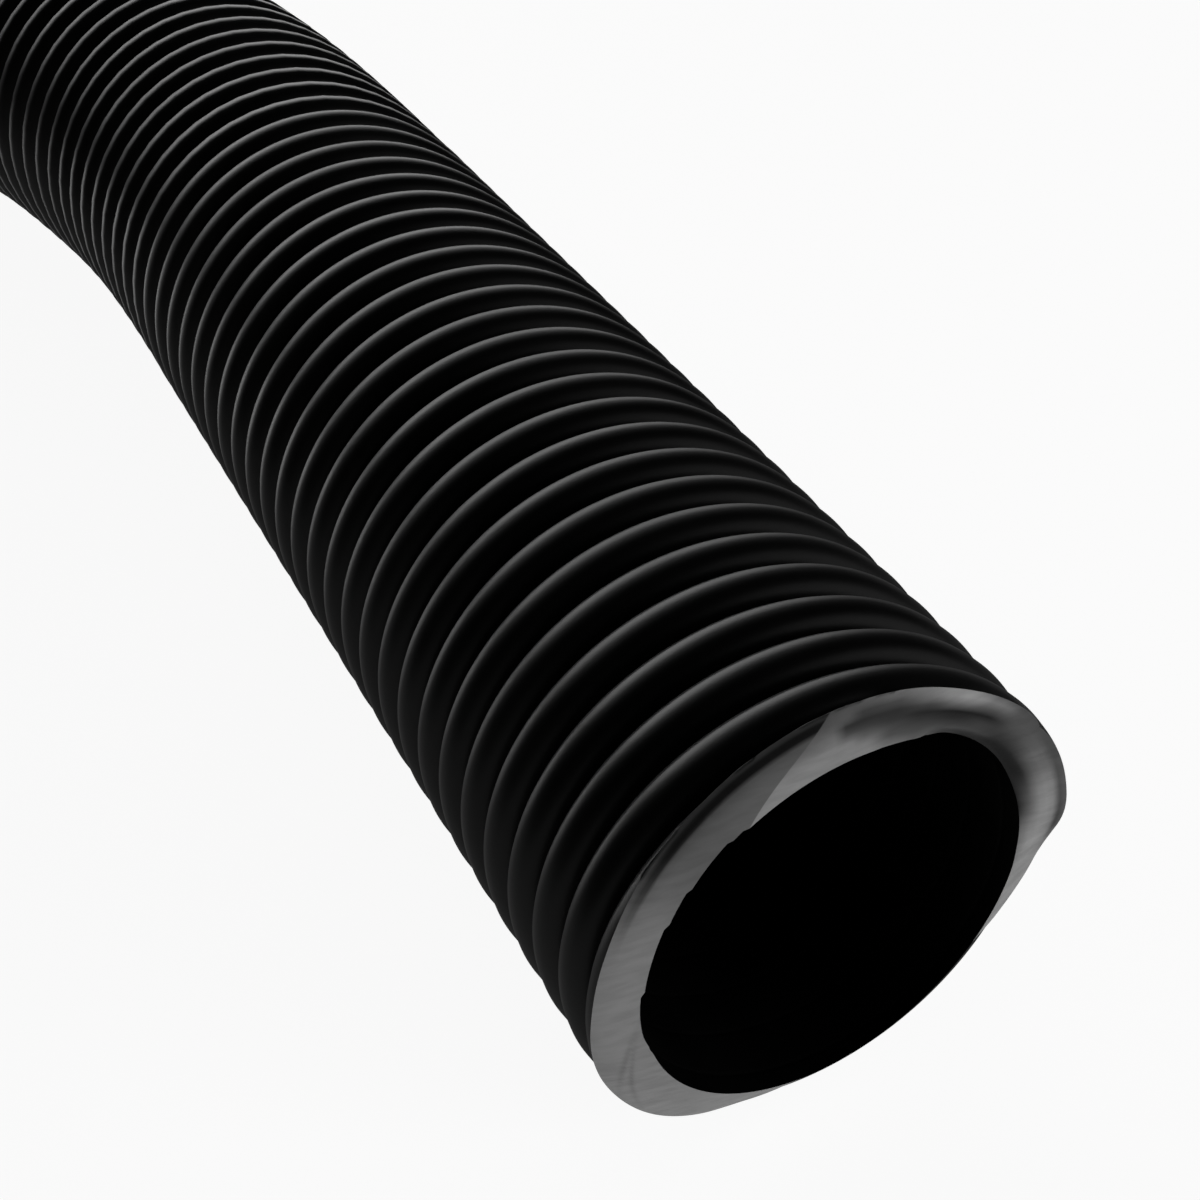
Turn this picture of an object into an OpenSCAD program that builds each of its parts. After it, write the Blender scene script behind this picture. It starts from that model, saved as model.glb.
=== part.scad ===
// Pool vacuum hose: a spiral-wound hose with a smooth bore, one bare cut end and one swivel cuff.
// The mouth of the cut end is centred on the origin, and the hose leaves it along +Y.
// Behind the straight end it bends to the left and winds into a round coil, held by three straps.
// The cuff lies on the coil, and its outer half turns freely on the half that holds the hose.

/* [Hose] */
// Bore diameter of the hose
bore_d = 38; // [36:0.5:39]
// Thickness of the smooth inner web
web_t = 1.2; // [0.8:0.1:1.4]
// Height of the spiral rib above the web
rib_h = 3.5; // [2.5:0.1:3.5]

/* [Coil] */
// Radius at the middle of the turns
coil_mid_r = 272; // [260:1:290]
// Angle from +X at which the top turn ends and rises to the cuff
top_end_angle = 160; // [150:1:170]

/* [Swivel cuff] */
// Wall of the sleeve that grips the hose
sleeve_wall = 2.2; // [1.6:0.1:2.4]
// Length of the sleeve on the hose
sleeve_l = 44; // [36:1:50]
// Radial height of the thrust flange on the sleeve
flange_h = 2.2; // [1.8:0.1:2.4]
// Wall of the swivel housing around the flange
housing_wall = 2.4; // [2:0.1:2.4]
// Bore diameter of the socket that takes a spigot
socket_d = 38.1; // [37:0.1:39]
// Depth of the socket
socket_l = 54; // [40:1:60]

/* [Storage straps] */
// Width of each strap
strap_w = 25; // [16:1:30]
// Thickness of each strap
strap_t = 1.5; // [1:0.1:2]

/* [Hidden] */
$fn = 96;

bore_r = bore_d / 2;
hose_r = bore_r + web_t + rib_h;
hose_d = 2 * hose_r;

// Route of the free hose from the back of the straight end to the start of the coil
LEAD_ROUTE = [
    [0, 130, 0], [0, 150, 0], [-1, 171, 0], [-4, 191, 0], [-8, 211, 0], [-14, 231, 0],
    [-22, 250, 0], [-32, 269, 0], [-43, 286, 0], [-55, 302, 0], [-69, 318, 0], [-85, 332, 0],
    [-101, 344, 0], [-118, 355, 0], [-137, 365, 0], [-156, 373, 0], [-176, 379, 0], [-196, 383, 0],
    [-216, 386, 0.1], [-237, 387, 0.3], [-270, 387, 0.8], [-310, 387, 1.3], [-350, 387, 1.6],
    [-392, 387, 1.75]
];
// Steps from the end of the top turn up to the line of the cuff
RISE_ROUTE = [
    [0, 0, 0], [-6, -18, 0.8], [-10.5, -36, 4], [-13.5, -55, 8], [-14.5, -72, 10.3], [-14.5, -84, 10.3]
];
TUBE_SIDES = 12;

inner_r = coil_mid_r - hose_r;
outer_r = coil_mid_r + hose_r;
coil_entry = LEAD_ROUTE[len(LEAD_ROUTE) - 1];
coil_pos = [coil_entry[0], coil_entry[1] - outer_r, coil_entry[2]];
// The top turn nests between the two rings below it
top_turn_z = hose_d * (1 + sin(60));
top_turn_start = -60;
valley_fill = 6;
top_fill_w = 40;
top_sink = 1;

top_end = coil_pos + [coil_mid_r * cos(top_end_angle), coil_mid_r * sin(top_end_angle), top_turn_z];
tail_start = top_end + RISE_ROUTE[len(RISE_ROUTE) - 1];
tail_l = 50;

running_gap = 0.05;
axial_gap = 0.3;
sleeve_r = hose_r + sleeve_wall;
flange_r = sleeve_r + flange_h;
flange_l = 8;
flange_back = -12;
sleeve_stop_t = 3;
seal_t = 1.6;
cavity_r = flange_r + running_gap;
housing_r = cavity_r + housing_wall;
ring_l = 5;
ring_front = flange_back - axial_gap;
ring_r = cavity_r;
housing_back = ring_front - ring_l;
wall_back = sleeve_stop_t + seal_t + axial_gap;
wall_t = 4;
socket_wall = 4.2;
socket_r = socket_d / 2;
nose_r = socket_r + socket_wall;
socket_back = wall_back + wall_t;
socket_front = socket_back + socket_l;

STRAP_ANGLES = [0, 120, 240];
STRAP_SIDES = 32;
strap_gap = coil_entry[2] - strap_t;

hose_colour = "#1c1c1c";
cuff_colour = "#3a3d40";
ring_colour = "#8f9498";
seal_colour = "#101010";
strap_colour = "#2b2b2e";

// Ring of points around one point of a route, square to its direction t
function ring_points(p, t) =
    let (side = cross(t, [0, 0, 1]) / norm(cross(t, [0, 0, 1])), up = cross(side, t))
    [for (i = [0:TUBE_SIDES - 1])
        let (a = 360 * i / TUBE_SIDES + 90) p + hose_r * (cos(a) * side + sin(a) * up)];

function direction(route, i) =
    let (v = route[min(i + 1, len(route) - 1)] - route[max(i - 1, 0)]) v / norm(v);

function tube_points(route) =
    [for (i = [0:len(route) - 1]) each ring_points(route[i], direction(route, i))];

function tube_faces(n) = [
    [for (j = [0:TUBE_SIDES - 1]) j],
    for (i = [0:n - 2]) for (j = [0:TUBE_SIDES - 1])
        let (a = i * TUBE_SIDES, k = (j + 1) % TUBE_SIDES)
        [a + j, a + TUBE_SIDES + j, a + TUBE_SIDES + k, a + k],
    [for (j = [TUBE_SIDES - 1:-1:0]) (n - 1) * TUBE_SIDES + j]
];

module tube(route) {
    polyhedron(tube_points(route), tube_faces(len(route)));
}

module pipe(outer, inner, length) {
    difference() {
        cylinder(r = outer, h = length);
        translate([0, 0, -1]) cylinder(r = inner, h = length + 2);
    }
}

// Places its children on the cuff's axis: z = 0 is the end of the hose, +z points out of the socket
module on_cuff() {
    translate(tail_start - [0, tail_l, 0]) rotate([90, 0, 0]) children();
}

// Straight end with the bare mouth
module hose_mouth() {
    color(hose_colour)
    translate([0, LEAD_ROUTE[0][1], 0]) rotate([90, 0, 0]) pipe(hose_r, bore_r, LEAD_ROUTE[0][1]);
}

module hose_lead() {
    color(hose_colour) tube(LEAD_ROUTE);
}

// Cross-section of two rings side by side in two layers
module coil_section() {
    for (r = [inner_r, outer_r], z = [0, hose_d]) translate([r, z]) circle(r = hose_r);
    translate([inner_r - hose_r, 0]) square([2 * hose_d, hose_d]);
    translate([coil_mid_r - valley_fill, -valley_fill])
        square([2 * valley_fill, hose_d + 2 * valley_fill]);
}

module top_turn_section() {
    translate([coil_mid_r, top_turn_z - top_sink]) circle(r = hose_r);
    translate([coil_mid_r - top_fill_w / 2, hose_d]) square([top_fill_w, top_turn_z - hose_d]);
}

module hose_coil() {
    color(hose_colour)
    translate(coil_pos) {
        rotate_extrude() coil_section();
        rotate([0, 0, top_turn_start])
            rotate_extrude(angle = top_end_angle - top_turn_start) top_turn_section();
    }
}

module hose_rise() {
    color(hose_colour) tube([for (step = RISE_ROUTE) top_end + step]);
}

// Last straight length of hose, glued into the sleeve
module hose_tail() {
    color(hose_colour) on_cuff() translate([0, 0, -tail_l]) pipe(hose_r, bore_r, tail_l);
}

// Sleeve with an inner stop for the hose and a thrust flange for the swivel
module cuff_sleeve() {
    color(cuff_colour)
    on_cuff() {
        translate([0, 0, -sleeve_l]) pipe(sleeve_r, hose_r, sleeve_l);
        pipe(sleeve_r, bore_r, sleeve_stop_t);
        translate([0, 0, flange_back]) pipe(flange_r, hose_r, flange_l);
    }
}

// Face seal between the sleeve's stop and the swivel's inner wall
module seal_ring() {
    color(seal_colour) on_cuff() translate([0, 0, sleeve_stop_t]) pipe(sleeve_r - 1, bore_r + 1, seal_t);
}

// Ring pressed into the back of the housing, which keeps the flange in
module retaining_ring() {
    color(ring_colour)
    on_cuff() translate([0, 0, housing_back]) pipe(ring_r, sleeve_r + axial_gap, ring_l);
}

// Outer half of the cuff: a housing around the flange and a socket in front of it
module swivel_housing() {
    color(cuff_colour)
    on_cuff() {
        translate([0, 0, housing_back]) pipe(housing_r, cavity_r, wall_back - housing_back);
        translate([0, 0, wall_back]) pipe(housing_r, socket_r, wall_t);
        translate([0, 0, socket_back]) pipe(nose_r, socket_r, socket_l);
    }
}

// Outline around the coil at a clearance, with or without the top turn inside it
module strap_outline(grow, has_top) {
    hull() {
        for (r = [inner_r, outer_r], z = [0, hose_d])
            translate([r, z]) circle(r = (hose_r + grow) / cos(180 / STRAP_SIDES), $fn = STRAP_SIDES);
        if (has_top)
            translate([coil_mid_r, top_turn_z])
                circle(r = (hose_r + grow) / cos(180 / STRAP_SIDES), $fn = STRAP_SIDES);
    }
}

module tie_strap(number) {
    angle = STRAP_ANGLES[number - 1];
    has_top = angle < top_end_angle;
    color(strap_colour)
    translate(coil_pos) rotate([90, 0, angle]) linear_extrude(strap_w, center = true)
    difference() {
        strap_outline(strap_gap / 2 + strap_t, has_top);
        strap_outline(strap_gap / 2, has_top);
    }
}

hose_mouth();
hose_lead();
hose_coil();
hose_rise();
hose_tail();
cuff_sleeve();
swivel_housing();
retaining_ring();
seal_ring();
tie_strap(1);  // tie_strap_1
tie_strap(2);  // tie_strap_2
tie_strap(3);  // tie_strap_3
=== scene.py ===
import math

import bpy
import mathutils
import numpy as np
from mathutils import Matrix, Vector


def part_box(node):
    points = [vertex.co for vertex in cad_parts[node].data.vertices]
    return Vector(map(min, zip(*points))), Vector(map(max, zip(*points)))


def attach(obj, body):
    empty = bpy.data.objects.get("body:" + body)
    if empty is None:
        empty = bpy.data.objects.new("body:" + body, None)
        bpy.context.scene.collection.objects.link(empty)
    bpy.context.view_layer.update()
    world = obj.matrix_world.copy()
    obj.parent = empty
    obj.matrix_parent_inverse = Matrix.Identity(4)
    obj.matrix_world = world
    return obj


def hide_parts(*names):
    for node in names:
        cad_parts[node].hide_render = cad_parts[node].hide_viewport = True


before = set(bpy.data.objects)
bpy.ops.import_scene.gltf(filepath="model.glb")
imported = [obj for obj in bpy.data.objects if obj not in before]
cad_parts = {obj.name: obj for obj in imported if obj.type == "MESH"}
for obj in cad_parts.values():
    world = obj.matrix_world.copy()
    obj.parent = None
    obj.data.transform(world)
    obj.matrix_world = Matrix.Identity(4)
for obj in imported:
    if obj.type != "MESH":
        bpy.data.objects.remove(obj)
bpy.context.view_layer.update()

# Pool vacuum hose. Lengths are in metres and angles in degrees, unless a name says otherwise.
MM = 0.001
UP = np.array([0.0, 0.0, 1.0])

# ---------------------------------------------------------------- sizes

mouth_low, mouth_high = (np.array(corner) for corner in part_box("hose_mouth"))
HOSE_D = mouth_high[0] - mouth_low[0]
HOSE_R = HOSE_D / 2
FLOOR_Z = mouth_low[2]
RIB_H = 3.5 * MM
WEB_T = 1.2 * MM
WEB_R = HOSE_R - RIB_H
BORE_R = WEB_R - WEB_T
PITCH = 5.2 * MM

# ---------------------------------------------------------------- camera

STAGE_R = 30    # half the floor's width


def add_camera(place, down, pan, lens):
    """Looks `down` degrees below the horizon, `pan` degrees anticlockwise of +Y."""
    camera = bpy.data.objects.new("camera", bpy.data.cameras.new("camera"))
    camera.location = place
    camera.rotation_euler = (math.radians(90 - down), 0, math.radians(pan))
    camera.data.lens = lens
    camera.data.sensor_width = 36
    camera.data.clip_start = 0.01
    camera.data.clip_end = 3 * STAGE_R
    bpy.context.collection.objects.link(camera)
    bpy.context.scene.camera = camera


add_camera(place=(-0.0721, -0.1045, 0.1229), down=35.58, pan=-25.5, lens=62.27)

# ---------------------------------------------------------------- route of the hose

# From the back of the straight end to the start of the coil
LEAD_ROUTE = [
    (0, 130, 0), (0, 150, 0), (-1, 171, 0), (-4, 191, 0), (-8, 211, 0), (-14, 231, 0),
    (-22, 250, 0), (-32, 269, 0), (-43, 286, 0), (-55, 302, 0), (-69, 318, 0), (-85, 332, 0),
    (-101, 344, 0), (-118, 355, 0), (-137, 365, 0), (-156, 373, 0), (-176, 379, 0), (-196, 383, 0),
    (-216, 386, 0.1), (-237, 387, 0.3), (-270, 387, 0.8), (-310, 387, 1.3), (-350, 387, 1.6),
    (-392, 387, 1.75),
]
# Steps from the end of the top turn up to the line of the cuff
RISE_ROUTE = [
    (0, 0, 0), (-6, -18, 0.8), (-10.5, -36, 4), (-13.5, -55, 8), (-14.5, -72, 10.3), (-14.5, -84, 10.3),
]
TAIL_L = 50 * MM
COIL_MID_R = 272 * MM
COIL_START = 90
COIL_END = 4 * 360 + 160
CHANGE_SPAN = 75
NEST_ANGLE = 60


def smooth_step(share):
    share = np.clip(share, 0, 1)
    return share * share * (3 - 2 * share)


def change(angle, turn, lead):
    """Share of the change of place that starts `lead` degrees before the end of this turn."""
    start = COIL_START + 360 * turn - lead
    return smooth_step((angle - start) / CHANGE_SPAN)


def coil_place(angle):
    """Radius and height of the hose at an angle, counted on through the turns of the coil.

    The turns lie outer, inner, inner, outer in two layers, and the last one nests between two rings.
    """
    inward, lift, outward, nest = (change(angle, turn, 25 + 50 * turn) for turn in (1, 2, 3, 4))
    crossing = 4 * outward_below(angle) * (1 - outward_below(angle))
    nest = np.radians(NEST_ANGLE) * nest
    radius = COIL_MID_R + HOSE_R + HOSE_D * (outward - inward - 1 + np.cos(nest))
    height = HOSE_D * (lift + np.sin(nest) + (1 - math.sin(math.radians(NEST_ANGLE))) * crossing)
    return radius, height


def outward_below(angle):
    """The outward change of the third turn, as the last turn passes over it."""
    return np.where(angle > COIL_START + 360 * 3.3, change(angle - 360, 3, 175), 0)


def coil_route():
    entry = np.array(LEAD_ROUTE[-1]) * MM
    centre = entry - np.array([0, COIL_MID_R + HOSE_R, 0])
    angle = np.linspace(COIL_START, COIL_END, 500)
    radius, height = coil_place(angle)
    turn = np.radians(angle)
    return centre + np.stack([radius * np.cos(turn), radius * np.sin(turn), height], 1)


def hose_route():
    """The whole centreline, from the mouth to the end that is glued in the cuff."""
    coil = coil_route()
    rise = coil[-1] + np.array(RISE_ROUTE) * MM
    tail_end = rise[-1] - np.array([0, TAIL_L, 0])
    return np.vstack([[(0, 0, 0)], np.array(LEAD_ROUTE) * MM, coil[1:], rise[1:], [tail_end]])


def distance_along(points):
    return np.concatenate([[0], np.cumsum(np.linalg.norm(np.diff(points, axis=0), axis=1))])


def even_and_smooth(points, step=2 * MM, reach=16 * MM):
    """Points every `step` along the route, each averaged with those within `reach`."""
    along = distance_along(points)
    even = np.linspace(0, along[-1], round(along[-1] / step) + 1)
    dense = np.stack([np.interp(even, along, axis) for axis in points.T], 1)
    n = round(reach / step)
    ahead = dense[-1] + np.outer(np.arange(1, n + 1), dense[-1] - dense[-2])
    behind = dense[0] - np.outer(np.arange(n, 0, -1), dense[1] - dense[0])
    padded = np.vstack([behind, dense, ahead])
    weight = np.hanning(2 * n + 3)[1:-1]
    weight /= weight.sum()
    return np.stack([np.convolve(axis, weight, mode="valid") for axis in padded.T], 1)


ROUTE = even_and_smooth(hose_route())
ROUTE_S = distance_along(ROUTE)
HOSE_L = ROUTE_S[-1]
ROUTE_T = np.gradient(ROUTE, ROUTE_S, axis=0)
ROUTE_T /= np.linalg.norm(ROUTE_T, axis=1)[:, None]
ROUTE_SIDE = np.cross(ROUTE_T, UP)
ROUTE_SIDE /= np.linalg.norm(ROUTE_SIDE, axis=1)[:, None]
ROUTE_UP = np.cross(ROUTE_SIDE, ROUTE_T)


def on_hose(s, phi, radius):
    """Points at distance s from the mouth, phi radians from the top towards the right of the hose."""

    def at(table):
        return np.stack([np.interp(s, ROUTE_S, axis) for axis in table.T], -1)

    outward = np.cos(phi)[..., None] * at(ROUTE_UP) + np.sin(phi)[..., None] * at(ROUTE_SIDE)
    before = np.minimum(s, 0)[..., None] * ROUTE_T[0]
    return at(ROUTE) + before + radius[..., None] * outward


# ---------------------------------------------------------------- spiral surface

GROOVE_AT = 0.3 * MM    # a groove's place at the top of the hose
GROOVE_SHARE = 0.08      # of the pitch, between two ribs
ARCH_POWER = 2.6
SEAM_DEPTH = 0.12 * MM
SEAM_SHARE = 0.03


def turn_share(s, phi):
    """Place across the spiral strip, from 0 to 1, with the groove at 0."""
    return np.mod((s - GROOVE_AT) / PITCH + phi / (2 * math.pi), 1)


def arch(across):
    """Height of a rounded arch, from 1 in the middle to 0 at its foot. It is its own inverse."""
    return (1 - np.clip(across, 0, 1) ** ARCH_POWER) ** (1 / ARCH_POWER)


def rib_radius(s, phi):
    across = np.abs(2 * turn_share(s, phi) - 1) / (1 - GROOVE_SHARE)
    return WEB_R + RIB_H * arch(across)


def bore_radius(s, phi):
    """The smooth bore, with the faint joint line between the strip's turns."""
    across = np.abs(turn_share(s, phi) - 0.5) - 0.5
    return BORE_R + SEAM_DEPTH * np.exp(-((across / SEAM_SHARE) ** 2))


def rib_shares(count):
    """Places across the strip that follow the rib's arch closely at its foot."""
    across = 0.5 - 0.5 * (1 - GROOVE_SHARE) * np.cos(np.linspace(0, math.pi, count))
    return np.concatenate([[0], across])


BORE_SHARES = np.array([0, SEAM_SHARE, 3 * SEAM_SHARE, 1 - 3 * SEAM_SHARE, 1 - SEAM_SHARE])


# ---------------------------------------------------------------- mesh making


def triangles(a, b, c, d):
    """Two triangles for each quad of point numbers, without those that have no area."""
    halves = [np.stack(corners, -1).reshape(-1, 3) for corners in ((a, b, c), (a, c, d))]
    found = np.concatenate(halves)
    flat = (found == np.roll(found, 1, axis=1)).any(axis=1)
    return found[~flat]


def between_rings(rings):
    """Triangles from each closed ring of point numbers to the next."""
    inner, outer = rings[:-1], rings[1:]
    return triangles(inner, np.roll(inner, -1, 1), np.roll(outer, -1, 1), outer)


def new_mesh(name, points, faces, sharp):
    """An object made of triangles, shaded smooth except at edges sharper than `sharp`."""
    mesh = bpy.data.meshes.new(name)
    mesh.vertices.add(len(points))
    mesh.vertices.foreach_set("co", np.ascontiguousarray(points, np.float32).ravel())
    mesh.loops.add(faces.size)
    mesh.loops.foreach_set("vertex_index", np.ascontiguousarray(faces, np.int32).ravel())
    mesh.polygons.add(len(faces))
    mesh.polygons.foreach_set("loop_start", np.arange(0, faces.size, 3, dtype=np.int32))
    mesh.update(calc_edges=True)
    mesh.validate()
    mesh.set_sharp_from_angle(angle=math.radians(sharp))
    piece = bpy.data.objects.new(name, mesh)
    bpy.context.collection.objects.link(piece)
    return piece


def point_values(piece, name, values):
    """Keeps one number for each point, which the piece's material reads."""
    attribute = piece.data.attributes.new(name, "FLOAT", "POINT")
    attribute.data.foreach_set("value", np.ascontiguousarray(values, np.float32))


def finish_piece(piece, body, materials, nodes):
    for material in materials:
        piece.data.materials.append(material)
    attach(piece, body)
    if nodes:
        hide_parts(*nodes)
    return piece


# ---------------------------------------------------------------- materials


def add_node(tree, kind, inputs=None, **settings):
    """A new node. Each input is a value, or the socket that it is linked from."""
    node = tree.nodes.new("ShaderNode" + kind)
    for name, value in settings.items():
        setattr(node, name, value)
    for name, value in (inputs or {}).items():
        if isinstance(value, bpy.types.NodeSocket):
            tree.links.new(value, node.inputs[name])
        else:
            node.inputs[name].default_value = value
    return node


def grey(value):
    return (value, value, value, 1)


def new_material(name, **fixed):
    material = bpy.data.materials.new(name)
    material.use_nodes = True
    shader = material.node_tree.nodes["Principled BSDF"]
    for socket, value in fixed.items():
        shader.inputs[socket.replace("_", " ").title().replace("Ior", "IOR")].default_value = value
    return material, material.node_tree, shader


def noise(tree, scale, detail=3, roughness=0.5, stretch=(1, 1, 1)):
    """Noise of about 1/scale metres, from 0 to 1, fixed to the piece."""
    place = add_node(tree, "TexCoord").outputs["Object"]
    spread = add_node(tree, "Mapping", {"Vector": place, "Scale": stretch})
    texture = add_node(
        tree,
        "TexNoise",
        {"Vector": spread.outputs["Vector"], "Scale": scale, "Detail": detail, "Roughness": roughness},
    )
    return texture.outputs["Fac"]


def attribute(tree, name):
    return add_node(tree, "Attribute", attribute_name=name).outputs["Fac"]


def spread_over(tree, source, low, high, from_low=0.3, from_high=0.7):
    """The source's range taken to low..high."""
    values = {"Value": source, "From Min": from_low, "From Max": from_high, "To Min": low, "To Max": high}
    return add_node(tree, "MapRange", values, interpolation_type="SMOOTHSTEP").outputs["Result"]


def maths(tree, operation, *values):
    return add_node(tree, "Math", dict(enumerate(values)), operation=operation).outputs["Value"]


def bump(tree, shader, height, distance):
    relief = add_node(tree, "Bump", {"Height": height, "Distance": distance, "Strength": 1.0})
    tree.links.new(relief.outputs["Normal"], shader.inputs["Normal"])


def hose_material():
    """Black extruded polyethylene with a soft satin skin."""
    material, tree, shader = new_material("hose_plastic", specular_ior_level=0.5)
    cloudy = noise(tree, 55, detail=4)
    grain = noise(tree, 1400, detail=2)
    colour = spread_over(tree, cloudy, 0.0018, 0.0045)
    tree.links.new(colour, shader.inputs["Base Color"])
    tree.links.new(spread_over(tree, cloudy, 0.40, 0.46), shader.inputs["Roughness"])
    bump(tree, shader, maths(tree, "ADD", grain, cloudy), 0.012 * MM)
    return material


def bore_material():
    material, tree, shader = new_material("hose_bore", specular_ior_level=0.12)
    cloudy = noise(tree, 80, detail=3)
    tree.links.new(spread_over(tree, cloudy, 0.0012, 0.0025), shader.inputs["Base Color"])
    tree.links.new(spread_over(tree, cloudy, 0.45, 0.6), shader.inputs["Roughness"])
    return material


def cut_material():
    """The freshly cut end, paler than the skin, with fine marks of the knife, and the painted shade and light
    that its points carry.
    """
    material, tree, shader = new_material("hose_cut", specular_ior_level=0.3)
    streaks = noise(tree, 260, detail=5, roughness=0.6, stretch=(1, 0.3, 5))
    clouds = noise(tree, 90, detail=3)
    right = spread_over(tree, attribute(tree, "past_seam"), 0, 1, -0.3, 0.3)
    # The two tones hold painted shade and painted light as well as the wall's grey.
    tones = {"Factor": right, "A": attribute(tree, "left_tone_and_painted_light"), "B": attribute(tree, "right_tone_and_painted_shade")}
    tone = add_node(tree, "Mix", tones).outputs["Result"]
    marked = maths(tree, "MULTIPLY", tone, spread_over(tree, streaks, 0.9, 1.08))
    mottled = maths(tree, "MULTIPLY", marked, spread_over(tree, clouds, 0.94, 1.06))
    tree.links.new(mottled, shader.inputs["Base Color"])
    tree.links.new(spread_over(tree, streaks, 0.5, 0.7), shader.inputs["Roughness"])
    bump(tree, shader, streaks, 0.03 * MM)
    return material


# ---------------------------------------------------------------- hose


def spiral_sheet(start, end, shares, radius):
    """Points and triangles of a tube whose rows follow the spiral, from start to end at each column.

    The first points are the ring at the start, and the next ones the ring at the end.
    """
    columns, rows = len(start), len(shares)
    column = np.arange(columns)
    first, last = math.floor(start.min() / PITCH) - 1, math.ceil(end.max() / PITCH) + 2
    turns = np.repeat(np.arange(first, last), rows) + np.tile(shares, last - first)
    s = PITCH * (turns[:, None] - column / columns) + GROOVE_AT
    phi = np.broadcast_to(2 * math.pi * column / columns, s.shape)
    inside = (s > start) & (s < end)
    ids = np.where(s <= start, column, columns + column)
    ids[inside] = 2 * columns + np.arange(inside.sum())
    s = np.concatenate([start, end, s[inside]])
    phi = np.concatenate([phi[0], phi[0], phi[inside]])
    one_turn_back = np.concatenate([np.zeros(rows, int), ids[:-rows, 0]])
    ids = np.column_stack([ids, one_turn_back])
    faces = triangles(ids[:-1, :-1], ids[:-1, 1:], ids[1:, 1:], ids[1:, :-1])
    return on_hose(s, phi, radius(s, phi)), faces


def hose_length(
    name, start, end, skin, skin_shares, bore, bore_shares, face_place=None, face_shares=(), sharp=60
):
    """A closed length of hose, from the start at the bore and at the skin to one end for both.

    Its surfaces are skin and bore, each with rows at these shares of a turn of the spiral. Its start face
    has rings at face_shares of the way from the bore to the skin, whose places come from face_place.
    """
    columns = len(start[0])
    phi = 2 * math.pi * np.arange(columns) / columns
    outside, outer_faces = spiral_sheet(start[1], end, skin_shares, skin)
    inside, inner_faces = spiral_sheet(start[0], end, bore_shares, bore)
    face = [face_place(phi, share) for share in face_shares]
    points = np.concatenate([outside, inside, *face])
    ring = np.arange(columns)
    inner_ring = ring + len(outside)
    face_rings = [ring + len(outside) + len(inside) + columns * row for row in range(len(face))]
    start_wall = between_rings(np.stack([inner_ring, *face_rings, ring]))
    end_wall = between_rings(np.stack([ring, inner_ring]) + columns)
    faces = np.concatenate([outer_faces, inner_faces[:, ::-1] + len(outside), end_wall, start_wall])
    piece = new_mesh(name, points, faces, sharp)
    part = np.repeat([0, 1, 0, 2], [len(outer_faces), len(inner_faces), len(end_wall), len(start_wall)])
    piece.data.polygons.foreach_set("material_index", part.astype(np.int32))
    return piece


# ---------------------------------------------------------------- cut end

CUT_TILT = 1.893 * MM    # how far the knife's cut leans each way
CUT_TILT_TO = 121.2      # the side that it leans away to
SEAM_FROM, SEAM_TO = -33, -6    # where a seam crosses the cut wall, from inside to outside
HOLLOW_DEPTH = 0.4 * MM
CHAMFER = 0.7 * MM       # at the bore, on the upper right
LIP_SHARE = 0.97         # of the ribs' height
PAINTED_LIGHT_TO = 120        # the angle at which the cut wall is palest, painted light on that side
KNIFE_MARKS = [(-133, 42), (-121, 30)]    # the angle of each at the skin, and how far it leans
# How far the outer edge lies behind the cut's plane, in millimetres, at angles round the mouth
EDGE_ANGLES = [0, 12, 26, 40, 84, 96, 111, 150, 202, 227, 245, 259, 272, 290, 310, 330, 348]
EDGE_BACK = [1.1, 0.9, 0.2, 0, 0, 1.5, 1.6, 1.5, 1.85, 1.35, 1.2, 0.7, 0.2, 0.3, 1.0, 1.3, 1.3]
# How pale the torn part right of the seam is painted: painted shade in the hollow, in the crevice above it
# and in the chamfer at the bore, and painted light along the lip; a row for each angle, from the bore to the
# outer edge
TORN_ANGLES = [-8, -4, 0, 8, 16, 26, 36, 46, 62, 76, 88, 100]
TORN_SHARES = [0, 0.2, 0.4, 0.55, 0.7, 0.85, 1]
TORN_SHADE_AND_LIGHT = [
    [1.1, 1.1, 1.1, 0.9, 0.7, 0.7, 0.8],
    [1.1, 1.1, 1.0, 0.3, 0.12, 0.7, 1.0],
    [1.1, 1.1, 0.5, 0.25, 0.12, 0.3, 1.2],
    [0.8, 0.35, 0.25, 0.15, 0.12, 0.4, 1.4],
    [0.5, 0.3, 0.15, 0.07, 0.25, 0.9, 1.5],
    [0.2, 0.3, 0.1, 0.04, 0.6, 1.5, 1.4],
    [0.08, 0.25, 0.2, 0.04, 0.35, 0.9, 0.5],
    [0.08, 0.08, 0.2, 0.3, 0.35, 0.35, 0.3],
    [0.06, 0.08, 0.4, 0.55, 0.5, 0.3, 0.3],
    [0.05, 0.4, 0.9, 1.0, 0.9, 0.3, 0.4],
    [0.6, 1.0, 1.1, 1.0, 0.8, 0.2, 0.4],
    [1.0, 1.0, 1.0, 1.0, 1.0, 1.0, 1.0],
]


def bell(value, middle, width):
    return np.exp(-(((value - middle) / width) ** 2))


def ramp(value, low, high):
    return smooth_step((value - low) / (high - low))


def window(value, low, full, still_full, high):
    """1 from full to still_full, and smoothly down to 0 at low and high."""
    return ramp(value, low, full) * (1 - ramp(value, still_full, high))


def signed(degrees):
    return np.mod(degrees + 180, 360) - 180


def past_seam(degrees, share):
    """Degrees from the seam towards the right. Share is the place across the wall, from the bore."""
    return degrees - (SEAM_FROM + (SEAM_TO - SEAM_FROM) * share)


def torn_shade_and_light(degrees, share):
    """The table of painted shade and light, smoothed between its rows."""
    rows = [np.interp(share, TORN_SHARES, row) for row in TORN_SHADE_AND_LIGHT]
    tone = rows[0] + 0 * degrees
    for low, high, before, after in zip(TORN_ANGLES, TORN_ANGLES[1:], rows, rows[1:]):
        tone = tone + (after - before) * ramp(degrees, low, high)
    return tone


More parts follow.
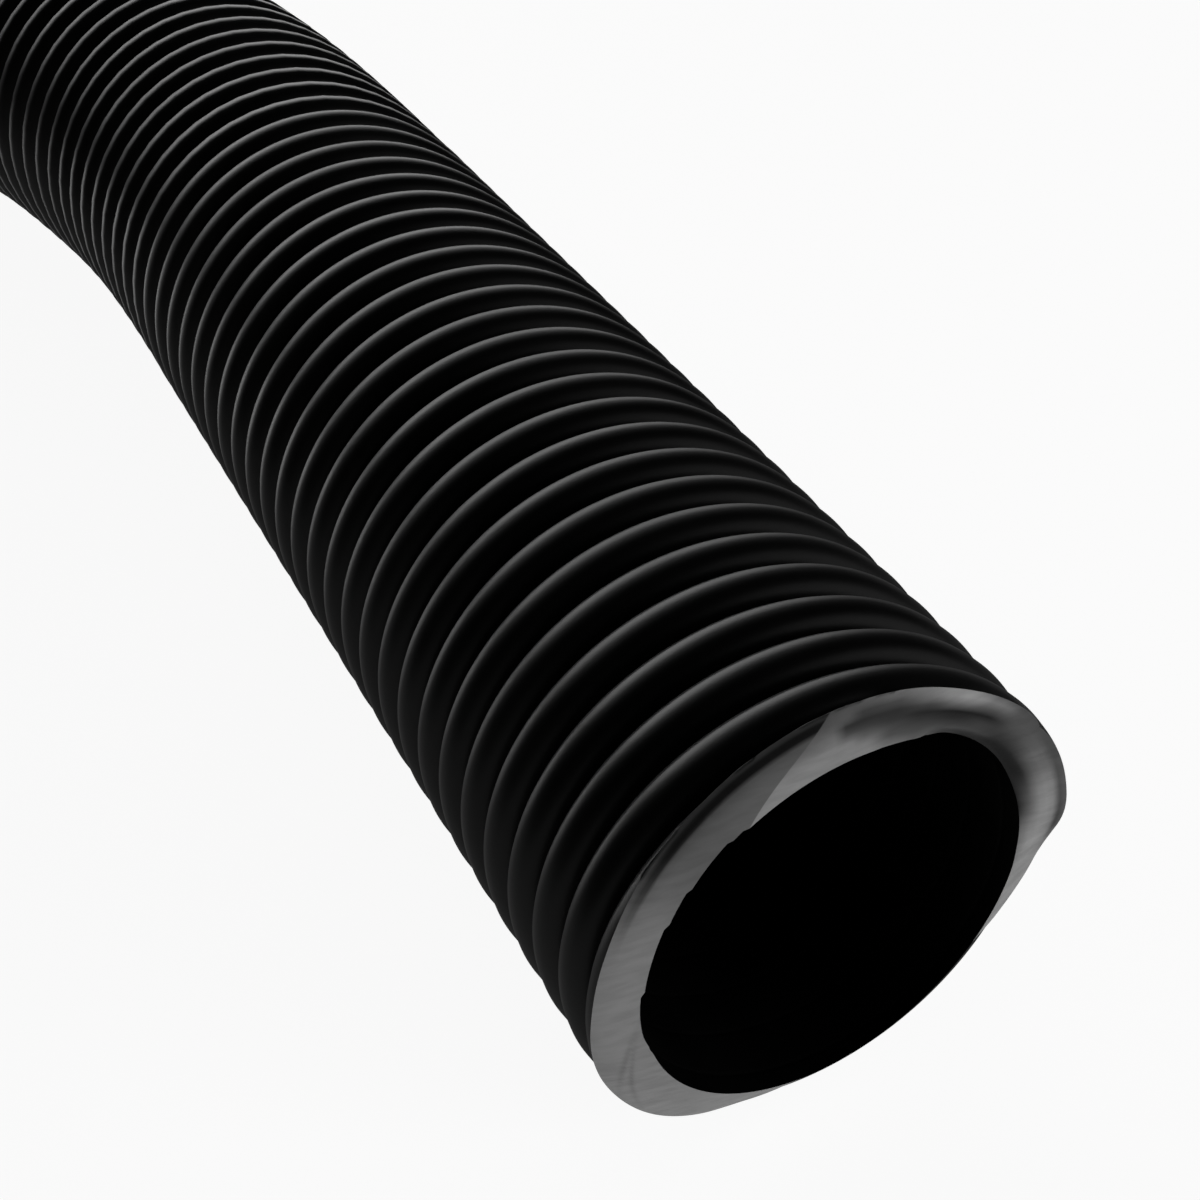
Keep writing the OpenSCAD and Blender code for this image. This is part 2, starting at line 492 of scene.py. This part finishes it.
def edge_back(degrees):
    """How far the outer edge lies behind the cut's plane."""
    near = [np.interp(degrees + turn, EDGE_ANGLES, EDGE_BACK, period=360) for turn in (-4, -2, 0, 2, 4)]
    return MM * np.mean(near, axis=0)


def cut_place(phi, share):
    """Where the knife went: straight across, with its outer edge further back, most of all at the bottom."""
    degrees = signed(np.degrees(phi))
    plane = CUT_TILT * np.cos(phi - math.radians(CUT_TILT_TO))
    sharpness = 1 + 4 * window(degrees, -125, -85, 60, 85)
    edge = edge_back(degrees) * share**sharpness
    # The hollow is made deepest where the torn part is painted darkest with shade.
    torn = np.clip(1 - torn_shade_and_light(degrees, share), 0, 1) * ramp(past_seam(degrees, share), 0, 8)
    hollow = HOLLOW_DEPTH * torn * (1 - share)
    chamfer = CHAMFER * window(degrees, 15, 30, 60, 80) * (1 - ramp(share, 0, 0.25))
    return plane + edge + hollow + chamfer


def mouth_skin(s, phi):
    """The ribs, and at the top of the cut a lip that is pressed over the first groove."""
    degrees = signed(np.degrees(phi))
    behind = s - cut_place(phi, 1)
    pressed = window(degrees, -62, -45, 48, 72) * (1 - ramp(behind, 0, 1.3 * MM))
    return np.maximum(rib_radius(s, phi), WEB_R + LIP_SHARE * RIB_H * pressed)


def edge_nicks(phi):
    """The ragged inner edge of the cut, as extra radius."""
    degrees = signed(np.degrees(phi))
    saw = np.mod(degrees / 17 + 0.3 * np.sin(degrees / 9), 1)
    return MM * (0.25 + 0.3 * saw) * window(degrees, -110, -100, SEAM_FROM - 1, SEAM_FROM)


def mouth_bore(s, phi):
    return bore_radius(s, phi) + edge_nicks(phi) * (1 - ramp(s, -2 * MM, 2.5 * MM))


def cut_face(phi, share):
    s = cut_place(phi, share)
    inner, outer = mouth_bore(s, phi), mouth_skin(cut_place(phi, 1), phi)
    return on_hose(s, phi, inner + share * (outer - inner))


# The cut wall's grey, with painted light that makes it palest towards the lower right.
def tone_with_painted_light(degrees):
    return 0.25 + 0.03 * np.cos(np.radians(degrees - PAINTED_LIGHT_TO))


def left_tone_and_painted_light(degrees, share):
    """The pale grey of the cut wall up to the seam, darker over the top, with the dark rounded rim of the
    first rib and a painted highlight along its outer edge.
    """
    tone = tone_with_painted_light(degrees)
    for start, lean in KNIFE_MARKS:
        tone -= 0.07 * bell(degrees, start + lean * (1 - share), 1.6) * bell(share, 0.55, 0.3)
    top = window(degrees, -75, -45, 60, 100)
    # The rim is dark except at its outer edge, where a painted highlight lightens it.
    dark_rim_with_highlight = ramp(share, 0.78, 0.84) * (1 - 0.7 * ramp(share, 0.9, 0.97))
    return tone * (1 - 0.5 * top) * (1 - 0.92 * top * dark_rim_with_highlight)


def right_tone_and_painted_shade(degrees, share):
    """The pale grey of the torn part right of the seam, with painted shade in its hollow, crevice and chamfer
    and painted light along the lip.
    """
    return tone_with_painted_light(degrees) * torn_shade_and_light(degrees, share)


MOUTH_L = mouth_high[1]
NEAR_COLUMNS = 240
FAR_COLUMNS = 48


def ring_of(columns, value):
    return np.full(columns, float(value))


def make_mouth(materials):
    phi = 2 * math.pi * np.arange(NEAR_COLUMNS) / NEAR_COLUMNS
    start = [cut_place(phi, share) for share in (0, 1)]
    face_shares = np.linspace(0, 1, 30)[1:-1]
    piece = hose_length(
        "hose_mouth_end", start, ring_of(NEAR_COLUMNS, MOUTH_L), mouth_skin, rib_shares(9),
        mouth_bore, BORE_SHARES, cut_face, face_shares,
    )
    place = np.zeros(len(piece.data.vertices) * 3)
    piece.data.vertices.foreach_get("co", place)
    x, _, z = place.reshape(-1, 3).T
    degrees = np.degrees(np.arctan2(x, z))
    share = (np.hypot(x, z) - BORE_R) / (HOSE_R - BORE_R)
    point_values(piece, "left_tone_and_painted_light", left_tone_and_painted_light(degrees, share))
    point_values(piece, "right_tone_and_painted_shade", right_tone_and_painted_shade(degrees, share))
    point_values(piece, "past_seam", past_seam(degrees, share))
    return finish_piece(piece, "hose", materials, ["hose_mouth"])


def make_length(materials):
    start, end = ring_of(FAR_COLUMNS, MOUTH_L), ring_of(FAR_COLUMNS, HOSE_L)
    piece = hose_length(
        "hose_length", [start, start], end, rib_radius, rib_shares(6), bore_radius, BORE_SHARES[:1], sharp=85
    )
    nodes = ["hose_lead", "hose_coil", "hose_rise", "hose_tail"]
    return finish_piece(piece, "hose", materials, nodes)


hose_materials = [hose_material(), bore_material(), cut_material()]
mouth_end = make_mouth(hose_materials)
hose = make_length(hose_materials)

# ---------------------------------------------------------------- cuff

sleeve_low = np.array(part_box("cuff_sleeve")[0])
housing_low, housing_high = (np.array(corner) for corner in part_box("swivel_housing"))
CUFF_X, _, CUFF_Z = (housing_low + housing_high) / 2
STOP_T = 3.0             # millimetres, as all sizes of the cuff's outlines are
END_Y = sleeve_low[1] + STOP_T * MM
SWIVEL_R = 19.05
GRIPS = 36


def rounded(corners, steps=5):
    """An outline whose corners, each (t, r, size), are rounded off."""
    outline = []
    for before, corner, after in zip(corners[-1:] + corners[:-1], corners, corners[1:] + corners[:1]):
        place, size = np.array(corner[:2], float), corner[2]
        back, ahead = (np.array(other[:2]) - place for other in (before, after))
        back, ahead = back / np.linalg.norm(back), ahead / np.linalg.norm(ahead)
        for share in np.linspace(0, 1, steps if size else 1):
            outline.append(place + size * ((1 - share) ** 2 * back + share**2 * ahead))
    return np.array(outline)


def turned(name, corners, columns, carve=None):
    """The outline turned round the cuff's axis. Its t grows from the hose's end to the cuff's mouth."""
    t, r = rounded(corners).T
    angle = 2 * math.pi * np.arange(columns) / columns
    t, angle = np.meshgrid(t, angle, indexing="ij")
    r = np.broadcast_to(r[:, None], t.shape)
    if carve:
        r = r - carve(t, r, angle)
    place = [CUFF_X + r * MM * np.cos(angle), END_Y - t * MM, CUFF_Z + r * MM * np.sin(angle)]
    rings = np.arange(t.size).reshape(t.shape)
    faces = between_rings(np.vstack([rings, rings[:1]]))
    return new_mesh(name, np.stack(place, -1).reshape(-1, 3), faces, 32)


def groove_points(t, r, width, depth):
    """Corners of a shallow groove round an outline."""
    sides = ((-width, 0), (-width / 2, depth), (width / 2, depth), (width, 0))
    return [(t + aside, r - down, 0.2) for aside, down in sides]


def make_sleeve(material):
    grooves = [corner for t in (-38, -33.5, -29) for corner in groove_points(t, 25.9, 1.0, 0.6)]
    corners = [
        (-44, 23.75, 0.3), (-44, 25.5, 0.4), (-42.5, 25.9, 0.5), *grooves,
        (-12, 25.9, 0.4), (-12, 28.1, 0.4), (-4, 28.1, 0.4), (-4, 25.9, 0.4),
        (STOP_T, 25.9, 0.5), (STOP_T, 19, 0.4), (0, 19, 0.3), (0, 23.75, 0.2),
    ]
    piece = turned("cuff_sleeve_moulding", corners, 144)
    finish_piece(piece, "hose", [material], ["cuff_sleeve"])


def grips(t, r, angle):
    """Finger grooves along the housing, which fade out at both ends."""
    scallop = np.maximum(0, np.cos(GRIPS * angle)) ** 0.7
    return 0.8 * scallop * window(t, -15, -12.5, 3.5, 6) * (r > 29)


def make_housing(material):
    along_grips = [(t, 30.55, 0) for t in (-15, -14, -13, -12, -4, 3, 4, 5, 6)]
    corners = [
        (-17.3, 28.2, 0.3), (-17.3, 30.55, 1.0), *along_grips, (8.9, 30.55, 1.4),
        (8.9, 23.25, 2.2), *groove_points(17, 23.25, 0.9, 0.45), *groove_points(57, 23.25, 0.9, 0.45),
        (62.9, 23.25, 0.9), (62.9, SWIVEL_R, 0.6), (4.9, SWIVEL_R, 0.5), (4.9, 28.2, 0.4),
    ]
    piece = turned("swivel_housing_moulding", corners, 6 * GRIPS, grips)
    finish_piece(piece, "swivel", [material], ["swivel_housing"])


def notches(t, r, angle):
    """Eight notches round the inner edge of the ring's back face, for a pin spanner."""
    return -ramp(np.cos(8 * angle), 0.75, 0.9) * (t < -15.5) * (r < 27)


def make_retaining_ring(material):
    corners = [
        (-17.3, 26.25, 0.3), (-17.3, 28.1, 0.3), (-12.3, 28.1, 0.3), (-12.3, 26.25, 0.3),
        (-15.2, 26.25, 0), (-15.8, 26.25, 0),
    ]
    piece = turned("retaining_ring_moulding", corners, 192, notches)
    finish_piece(piece, "swivel", [material], ["retaining_ring"])


def make_seal(material):
    corners = [(3.05, 20.1, 0.35), (3.05, 24.8, 0.35), (4.55, 24.8, 0.5), (4.1, 22.4, 0.6), (4.55, 20.1, 0.5)]
    piece = turned("seal_ring_moulding", corners, 96)
    finish_piece(piece, "hose", [material], ["seal_ring"])


def moulded_material(name, low, high, rough, grain_size, grain_depth):
    """Moulded plastic or rubber with a fine eroded grain."""
    material, tree, shader = new_material(name, specular_ior_level=0.45)
    grain = noise(tree, 1 / grain_size, detail=2)
    cloudy = noise(tree, 60, detail=4)
    tree.links.new(spread_over(tree, cloudy, low, high), shader.inputs["Base Color"])
    tree.links.new(spread_over(tree, cloudy, rough, rough + 0.1), shader.inputs["Roughness"])
    bump(tree, shader, grain, grain_depth)
    return material


cuff_plastic = moulded_material("cuff_plastic", 0.012, 0.018, 0.38, 0.6 * MM, 0.03 * MM)
make_sleeve(cuff_plastic)
make_housing(cuff_plastic)
make_retaining_ring(moulded_material("ring_plastic", 0.10, 0.14, 0.45, 0.8 * MM, 0.02 * MM))
make_seal(moulded_material("seal_rubber", 0.008, 0.014, 0.6, 0.4 * MM, 0.02 * MM))

# ---------------------------------------------------------------- straps

STRAP_ANGLES = [0, 120, 240]
STRAP_W = 25 * MM
WEBBING_T = 0.68 * MM
STRAP_GAP = 0.15 * MM    # between the hose and the strap
STRAP_TURNS = 1.34
STRAP_START = 25         # where the strap starts, in degrees up from the outer side of the coil
STRAP_RINGS = 375        # along its length
LAP_RISE = 5 * MM        # length over which the strap climbs onto its own start
STITCH_L = 2.4 * MM
STITCH_R = 0.35 * MM
WEAVE_SIZE = 1.1 * MM


def strands_at(angle):
    """Radius and height of each turn of the hose at this angle of the coil."""
    angles = np.arange(angle, COIL_END + 1, 360)
    return np.stack(coil_place(angles[angles >= COIL_START]), 1)


def line_round(strands):
    """Points of a taut line round the strands, the angle that it faces at each, and the distance along it."""
    turn = np.radians(STRAP_START + np.arange(0, 360 * STRAP_TURNS, 0.5))
    outward = np.stack([np.cos(turn), np.sin(turn)], 1)
    touched = strands[np.argmax(outward @ strands.T, axis=1)]
    points = touched + outward * (HOSE_R + STRAP_GAP)
    return points, turn, distance_along(points)


def strap_slice(angle, share):
    """Places, outward directions and distances along the strap where it crosses this angle of the coil."""
    points, turn, along = line_round(strands_at(angle))
    at = share * along[-1]
    once = np.interp(turn[0] + 2 * math.pi, turn, along)
    lift = (WEBBING_T + 0.02 * MM) * ramp(at, once - LAP_RISE, once)
    turn = np.interp(at, along, turn)
    outward = np.stack([np.cos(turn), np.sin(turn)], 1)
    place = np.stack([np.interp(at, along, axis) for axis in points.T], 1)
    return place + outward * lift[:, None], outward, at


def in_coil(angle, place):
    """The point at this angle, radius and height in the coil."""
    centre = np.array(LEAD_ROUTE[-1]) * MM - [0, COIL_MID_R + HOSE_R, 0]
    turn = math.radians(angle)
    radius, height = place[..., 0], place[..., 1]
    return centre + np.stack([radius * math.cos(turn), radius * math.sin(turn), height], -1)


def webbing(angle):
    """Points and triangles of a strip round the turns, and the places of the points along and across it."""
    across = np.array([-1, -0.97, -0.9, -0.6, -0.3, 0, 0.3, 0.6, 0.9, 0.97, 1]) * STRAP_W / 2
    edge = np.interp(np.abs(across), [0.45 * STRAP_W, STRAP_W / 2], [1, 0.45])
    share = np.linspace(0, 1, STRAP_RINGS)
    sides, reach = [], []
    for w, thick in zip(across, edge):
        slice_angle = angle + math.degrees(w / COIL_MID_R)
        place, outward, at = strap_slice(slice_angle, share)
        middle = place + outward * WEBBING_T / 2
        half = outward * WEBBING_T / 2 * thick
        sides.append([in_coil(slice_angle, middle - half), in_coil(slice_angle, middle + half)])
        reach.append(at)
    loop = [side[0] for side in sides] + [side[1] for side in reversed(sides)]
    loop_across = np.concatenate([across, across[::-1]])
    rings = np.arange(len(loop) * STRAP_RINGS).reshape(len(loop), STRAP_RINGS).T
    faces = np.concatenate([between_rings(rings), strip_cap(rings[0]), strip_cap(rings[-1])[:, ::-1]])
    along = np.concatenate(reach + reach[::-1])
    return np.concatenate(loop), faces, along, np.repeat(loop_across, STRAP_RINGS)


def make_strap(number, angle, materials):
    """A webbing strap, whose end laps over its start and is stitched."""
    strip, strip_faces, along, across = webbing(angle)
    thread, thread_faces = stitches(angle)
    faces = np.concatenate([strip_faces, thread_faces + len(strip)])[:, ::-1]
    piece = new_mesh(f"tie_strap_webbing_{number}", np.concatenate([strip, thread]), faces, 50)
    on_thread = np.zeros(len(thread))
    point_values(piece, "along", np.concatenate([along, on_thread]))
    point_values(piece, "across", np.concatenate([across, on_thread]))
    part = np.repeat([0, 1], [len(strip_faces), len(thread_faces)])
    piece.data.polygons.foreach_set("material_index", part.astype(np.int32))
    finish_piece(piece, "hose", materials, [f"tie_strap_{number}"])


def stitch(angle, across, from_end):
    """Three rings of one stitch, whose thread comes up out of the webbing and goes back in."""
    slice_angle = angle + math.degrees(across / COIL_MID_R)
    length = strap_slice(slice_angle, np.ones(1))[2][0]
    share = 1 - (from_end + STITCH_L * np.array([1, 0.5, 0])) / length
    place, outward, _ = strap_slice(slice_angle, share)
    height = WEBBING_T + np.array([[-0.15], [0.12], [-0.15]]) * MM
    turn = math.radians(slice_angle)
    side = STITCH_R * np.array([-math.sin(turn), math.cos(turn), 0])
    heights = [height + up * STITCH_R for up in (-1, 0, 1)]
    low, middle, high = (in_coil(slice_angle, place + outward * out) for out in heights)
    return np.stack([middle + side, high, middle - side, low], 1)


def stitches(angle):
    """Rows of stitches through the two layers of a strap, near its free end."""
    rows = [(across * MM, (4 + 3.4 * row) * MM) for across in (-9, -4.5, 0, 4.5, 9) for row in range(5)]
    points = np.concatenate([stitch(angle, *row).reshape(-1, 3) for row in rows])
    rings = np.arange(12).reshape(3, 4)
    one = np.concatenate([between_rings(rings), triangles(*rings[0][::-1]), triangles(*rings[-1])])
    return points, np.concatenate([one + 12 * number for number in range(len(rows))])


def strip_cap(ring):
    """Triangles that close the flat end of a strip whose ring goes out along one side and back."""
    half = len(ring) // 2
    near, far = ring[:half], ring[half:][::-1]
    return triangles(near[:-1], far[:-1], far[1:], near[1:])


def webbing_material():
    """Woven nylon: a fine plain weave, by the distance along and across the strap."""
    material, tree, shader = new_material("strap_webbing", specular_ior_level=0.2, sheen_weight=0.3)
    places = [attribute(tree, name) for name in ("along", "across")]
    turns = [maths(tree, "MULTIPLY", place, 2 * math.pi / WEAVE_SIZE) for place in places]
    weave = maths(tree, "MULTIPLY", *(maths(tree, "SINE", turn) for turn in turns))
    fuzz = noise(tree, 2500, detail=2)
    tree.links.new(spread_over(tree, weave, 0.008, 0.045, -1, 1), shader.inputs["Base Color"])
    tree.links.new(spread_over(tree, fuzz, 0.7, 0.9), shader.inputs["Roughness"])
    bump(tree, shader, maths(tree, "ADD", weave, fuzz), 0.1 * MM)
    return material


def thread_material():
    material, tree, shader = new_material("strap_thread", specular_ior_level=0.3)
    twist = noise(tree, 1500, detail=2)
    tree.links.new(spread_over(tree, twist, 0.03, 0.07), shader.inputs["Base Color"])
    tree.links.new(spread_over(tree, twist, 0.55, 0.7), shader.inputs["Roughness"])
    bump(tree, shader, twist, 0.05 * MM)
    return material


strap_materials = [webbing_material(), thread_material()]
for number, angle in enumerate(STRAP_ANGLES, 1):
    make_strap(number, angle, strap_materials)

# ---------------------------------------------------------------- studio


def glowing_material(name, glow, albedo):
    material = bpy.data.materials.new(name)
    material.use_nodes = True
    tree = material.node_tree
    tree.nodes.clear()
    diffuse = add_node(tree, "BsdfDiffuse", {"Color": grey(albedo)})
    light = add_node(tree, "Emission", {"Color": grey(1), "Strength": glow})
    both = add_node(tree, "AddShader", {0: diffuse.outputs[0], 1: light.outputs[0]})
    add_node(tree, "OutputMaterial", {"Surface": both.outputs[0]})
    return material


def stage_piece(name, points, faces, material):
    mesh = bpy.data.meshes.new(name)
    mesh.from_pydata(points, [], faces)
    mesh.materials.append(material)
    piece = bpy.data.objects.new(name, mesh)
    bpy.context.collection.objects.link(piece)
    return piece


def add_floor():
    z = FLOOR_Z - 0.2 * MM
    corners = [(x * STAGE_R, y * STAGE_R, z) for x, y in ((-1, -1), (1, -1), (1, 1), (-1, 1))]
    floor = stage_piece("floor", corners, [(0, 1, 2, 3)], glowing_material("floor", glow=0.93, albedo=0.2))
    floor.visible_glossy = False


def add_backdrop(sides=48):
    """A far white wall all round, which only the camera sees."""
    turn = [2 * math.pi * side / sides for side in range(sides)]
    points = [(STAGE_R * math.cos(a), STAGE_R * math.sin(a), z) for z in (-1, 20) for a in turn]
    faces = [(i, (i + 1) % sides, sides + (i + 1) % sides, sides + i) for i in range(sides)]
    wall = stage_piece("backdrop", points, faces, glowing_material("backdrop", glow=1, albedo=0))
    wall.visible_diffuse = wall.visible_glossy = wall.visible_shadow = False


def add_world(lobes, ground=0.12, roof=0.008):
    """Dark, except for soft glows, each (direction, strength), and a dim one from the ground."""
    world = bpy.data.worlds.new("studio")
    bpy.context.scene.world = world
    world.use_nodes = True
    tree = world.node_tree
    direction = add_node(tree, "TexCoord").outputs["Generated"]
    height = add_node(tree, "SeparateXYZ", {"Vector": direction}).outputs["Z"]
    light = spread_over(tree, height, ground, roof, -0.1, 0.1)
    for toward, glow in lobes:
        aim = add_node(tree, "VectorMath", {0: direction, 1: toward}, operation="DOT_PRODUCT")
        light = maths(tree, "ADD", light, spread_over(tree, aim.outputs["Value"], 0, glow, 0.75, 1))
    tree.links.new(light, tree.nodes["Background"].inputs["Strength"])
    tree.nodes["Background"].inputs["Color"].default_value = grey(1)


def add_area_light(name, place, target, size, power):
    light = bpy.data.lights.new(name, "AREA")
    light.shape = "DISK"
    light.size = size
    light.energy = power
    lamp = bpy.data.objects.new(name, light)
    lamp.location = place
    aim = np.array(target) - np.array(place)
    lamp.rotation_euler = mathutils.Vector(aim).to_track_quat("-Z", "Y").to_euler()
    lamp.visible_camera = lamp.visible_glossy = False
    bpy.context.collection.objects.link(lamp)


add_floor()
add_backdrop()
add_world([((0.0, 0.99, 0.1), 2.2), ((0.7, -0.7, 0.15), 0.35)])
add_area_light("front_right", (1.0, -1.1, 0.3), (0, 0, 0), 0.9, 7)
bpy.context.scene.view_settings.view_transform = "Standard"
